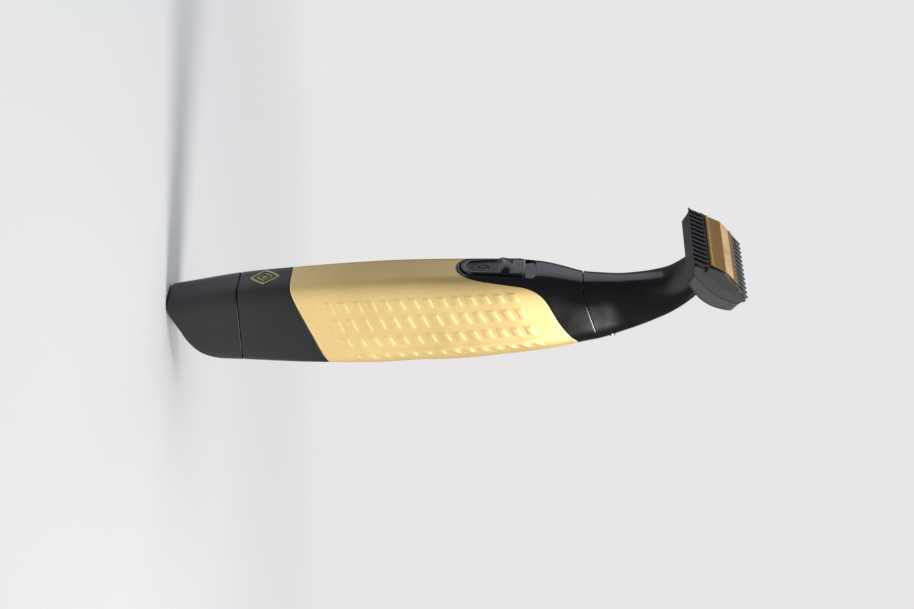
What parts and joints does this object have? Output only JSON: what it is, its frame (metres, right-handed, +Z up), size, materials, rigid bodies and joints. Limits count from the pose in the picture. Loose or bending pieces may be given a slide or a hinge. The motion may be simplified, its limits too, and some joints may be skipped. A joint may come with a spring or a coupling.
{
  "type": "hair clipper",
  "caption": "Slim cordless hair clipper with a ribbed gold sleeve, slide switch, leaning black neck and a wide toothed head.",
  "frame": {"origin": "centre of the bounding box in plan, at the lowest point of the slanted base", "axes": "+Z up along the handle to the head, -Y the front with the switch, X across the width of the head"},
  "size_m": [0.0402, 0.0412, 0.184],
  "materials": {
    "satin_charcoal": "satin, fine spark texture",
    "gloss_black": "polished",
    "gold_paint": "satin metallic paint with fine grain",
    "switch_black": "semi-gloss",
    "emblem_gold": "brushed, pale gold",
    "head_grey": "satin",
    "comb_black": "satin",
    "blade_gold": "brushed along the edge",
    "black_rubber": "matte",
    "frame_nylon": "as moulded",
    "cell_wrap": "shrink wrap",
    "board_green": "solder resist",
    "steel": "bright",
    "nickel_strip": "plated",
    "magnet_dark": "sintered",
    "bronze_bush": "sintered",
    "motor_nylon": "as moulded",
    "rotor_iron": "laminated",
    "lead_red": "insulated wire",
    "switch_nylon": "as moulded"
  },
  "bodies": {
    "handle": {"end_cap": "satin_charcoal", "lower_housing": "satin_charcoal", "upper_housing": "gloss_black", "grip_sleeve": "gold_paint", "front_emblem": "emblem_gold", "cap_seal": "black_rubber", "chassis_frame": "frame_nylon", "motor_mount": "frame_nylon", "battery_cell": "cell_wrap", "control_board": "board_green", "switch_board": "board_green", "motor_can": "steel", "cap_screw": "steel", "charging_socket": "steel", "cell_contacts": "nickel_strip", "motor_terminals": "nickel_strip", "motor_magnets": "magnet_dark", "motor_bearing": "bronze_bush", "motor_end_cap": "motor_nylon", "cell_leads": "lead_red", "motor_leads": "lead_red", "switch_block": "switch_nylon"},
    "slider": {"switch_button": "switch_black", "switch_wiper": "switch_nylon"},
    "rotor": {"rotor_shaft": "steel", "rotor_core": "rotor_iron", "crank": "steel"},
    "attachment": {"neck_front_shell": "gloss_black", "neck_rear_cover": "gloss_black", "neck_seal": "black_rubber", "lever_pin": "steel", "neck_screws": "steel", "head_base": "head_grey", "head_screws": "steel", "blade_frame": "frame_nylon", "fixed_blade": "blade_gold", "blade_spring": "steel"},
    "lever": {"drive_lever": "frame_nylon"},
    "blade": {"moving_blade": "steel", "blade_carrier": "frame_nylon"},
    "comb": {"comb_cover": "comb_black"}
  },
  "joints": [
    {"name": "switch_slide", "type": "slide", "parent": "handle", "child": "slider", "axis": [0, 0, 1], "range_m": [0, 0.0032]},
    {"name": "rotor_spin", "type": "hinge", "parent": "handle", "child": "rotor", "pos_m": [0, 0.0044, 0.11], "axis": [0, 0, 1], "continuous": true},
    {"name": "attachment_pull", "type": "slide", "parent": "handle", "child": "attachment", "axis": [0, 0, 1], "range_m": [0, 0.015]},
    {"name": "lever_rock", "type": "hinge", "parent": "attachment", "child": "lever", "pos_m": [0, 0.0027, 0.148], "axis": [0, 1, 0], "range_deg": [-2.2, 2.2]},
    {"name": "blade_stroke", "type": "slide", "parent": "attachment", "child": "blade", "axis": [1, 0, 0], "range_m": [-0.00099, 0.00099]},
    {"name": "comb_lift", "type": "slide", "parent": "attachment", "child": "comb", "axis": [0, -0.7826, 0.6225], "range_m": [0, 0.01]}
  ],
  "couplings": [
    {"joint": "lever_rock", "follows": "blade_stroke", "rad_per_m": 38.76}
  ]
}
